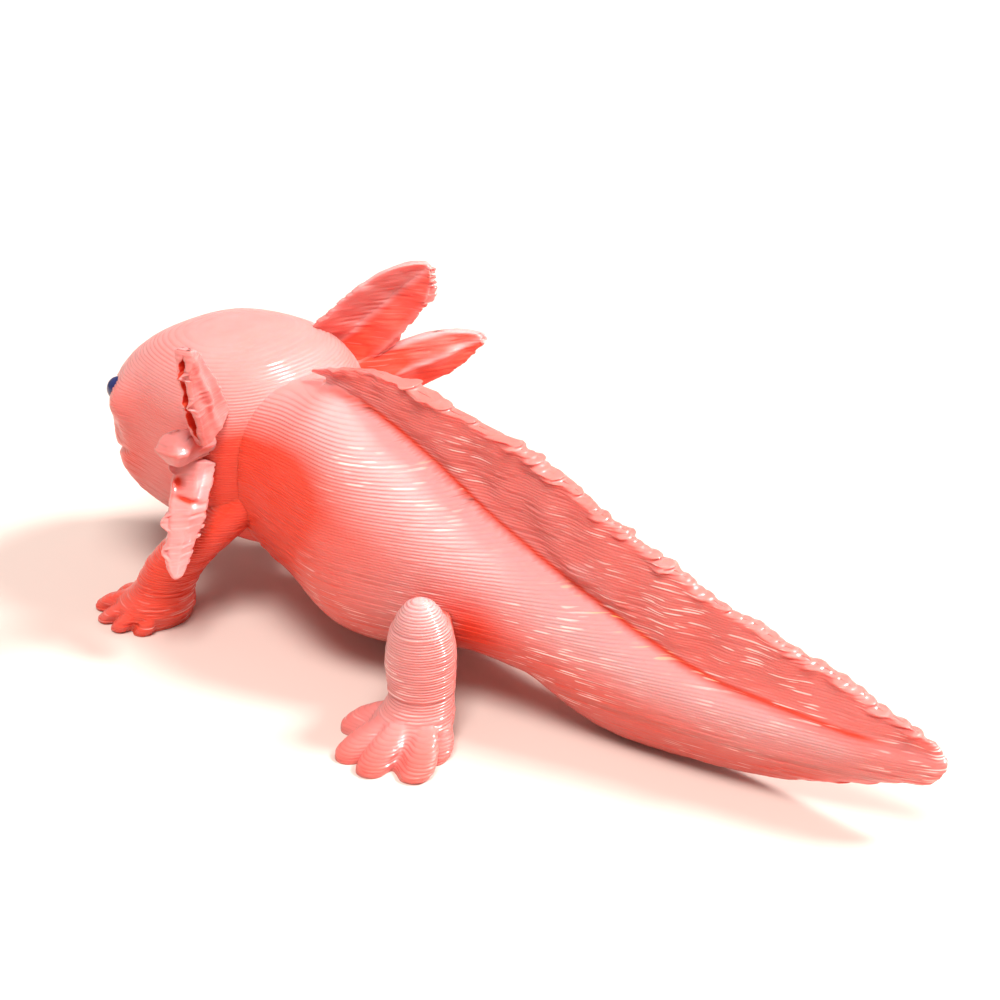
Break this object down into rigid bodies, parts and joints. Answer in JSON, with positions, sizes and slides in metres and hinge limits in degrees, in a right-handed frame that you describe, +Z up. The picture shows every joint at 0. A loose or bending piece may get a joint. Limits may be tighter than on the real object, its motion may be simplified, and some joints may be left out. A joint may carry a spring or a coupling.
{
  "type": "axolotl figurine",
  "caption": "Pink 3D-printed axolotl figurine that stands on its feet, with feathery gills, painted eyes and a finned tail that curves gently to one side.",
  "frame": {"origin": "centre of the box round the figurine, at the level of its soles", "axes": "+Z up, the snout points to -Y and the tail to +Y, the animal's left side is +X"},
  "size_m": [0.0224, 0.0478, 0.0159],
  "materials": {
    "pink_plastic": "glossy printed plastic with fine level layer lines, slightly translucent",
    "eye_paint": "glossy dark blue paint"
  },
  "bodies": {
    "root": {"head": "pink_plastic", "neck": "pink_plastic", "trunk_front": "pink_plastic", "trunk_rear": "pink_plastic", "tail_base": "pink_plastic", "tail_middle": "pink_plastic", "tail_tip": "pink_plastic", "dorsal_fin_front": "pink_plastic", "dorsal_fin_middle": "pink_plastic", "dorsal_fin_rear": "pink_plastic", "ventral_fin": "pink_plastic", "leg_front_left": "pink_plastic", "leg_front_right": "pink_plastic", "leg_hind_left": "pink_plastic", "leg_hind_right": "pink_plastic", "foot_front_left": "pink_plastic", "foot_front_right": "pink_plastic", "foot_hind_left": "pink_plastic", "foot_hind_right": "pink_plastic", "gill_upper_left": "pink_plastic", "gill_upper_right": "pink_plastic", "gill_middle_left": "pink_plastic", "gill_middle_right": "pink_plastic", "gill_lower_left": "pink_plastic", "gill_lower_right": "pink_plastic", "eye_left": "eye_paint", "eye_right": "eye_paint"}
  },
  "joints": []
}
